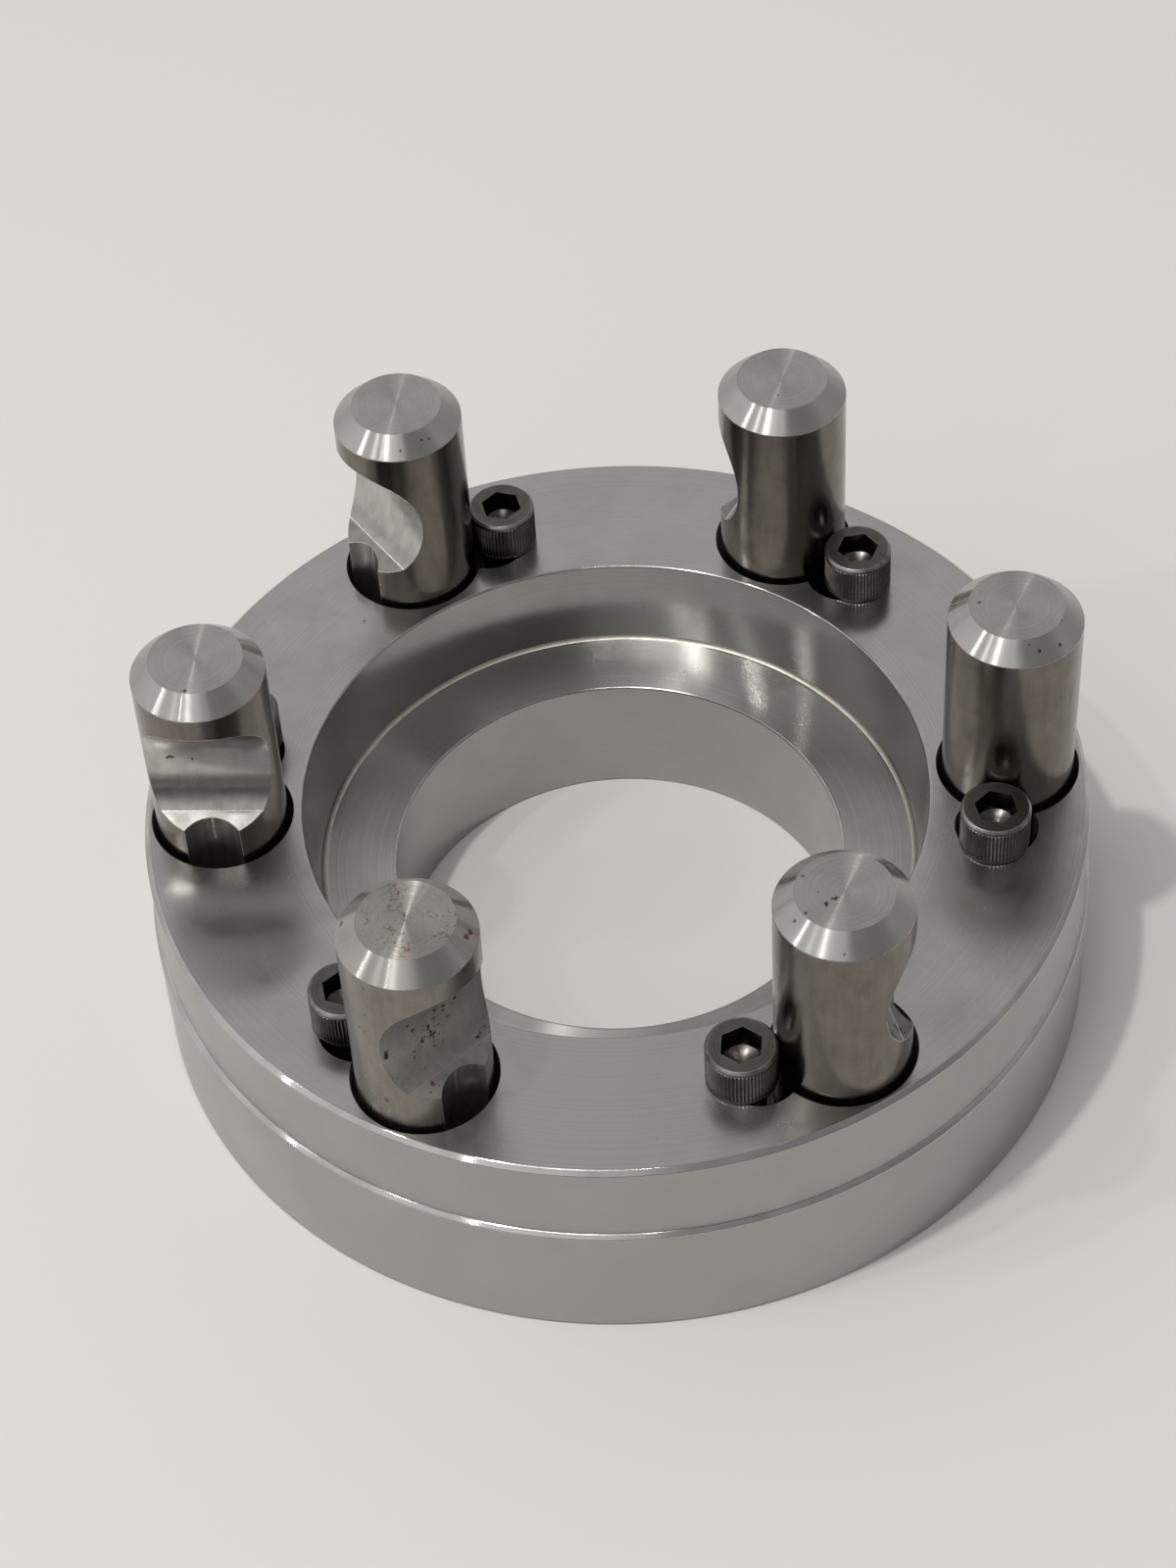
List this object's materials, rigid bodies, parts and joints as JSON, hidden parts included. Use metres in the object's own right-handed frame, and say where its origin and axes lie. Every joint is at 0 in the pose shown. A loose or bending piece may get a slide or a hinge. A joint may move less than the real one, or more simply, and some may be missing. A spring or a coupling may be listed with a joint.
{
  "type": "lathe chuck backplate",
  "caption": "Round steel lathe backplate with a short taper spindle socket, a through bore, a ring of cam lock studs and a socket head lock screw beside each stud.",
  "frame": {"origin": "centre of the flat underside, where the plate rests", "axes": "+Z along the turning axis towards the spindle side, +X towards cam stud 3; the studs are numbered clockwise seen from above"},
  "size_m": [0.1616, 0.1616, 0.0793],
  "materials": {
    "turned_steel": "fine turned and ground",
    "stud_steel": "ground sides, turned tops and milled cam cuts",
    "black_steel": "black oxide"
  },
  "bodies": {
    "root": {"backplate": "turned_steel", "cam_stud_1": "stud_steel", "cam_stud_2": "stud_steel", "cam_stud_3": "stud_steel", "cam_stud_4": "stud_steel", "cam_stud_5": "stud_steel", "cam_stud_6": "stud_steel", "lock_screw_1": "black_steel", "lock_screw_2": "black_steel", "lock_screw_3": "black_steel", "lock_screw_4": "black_steel", "lock_screw_5": "black_steel", "lock_screw_6": "black_steel"}
  },
  "joints": []
}
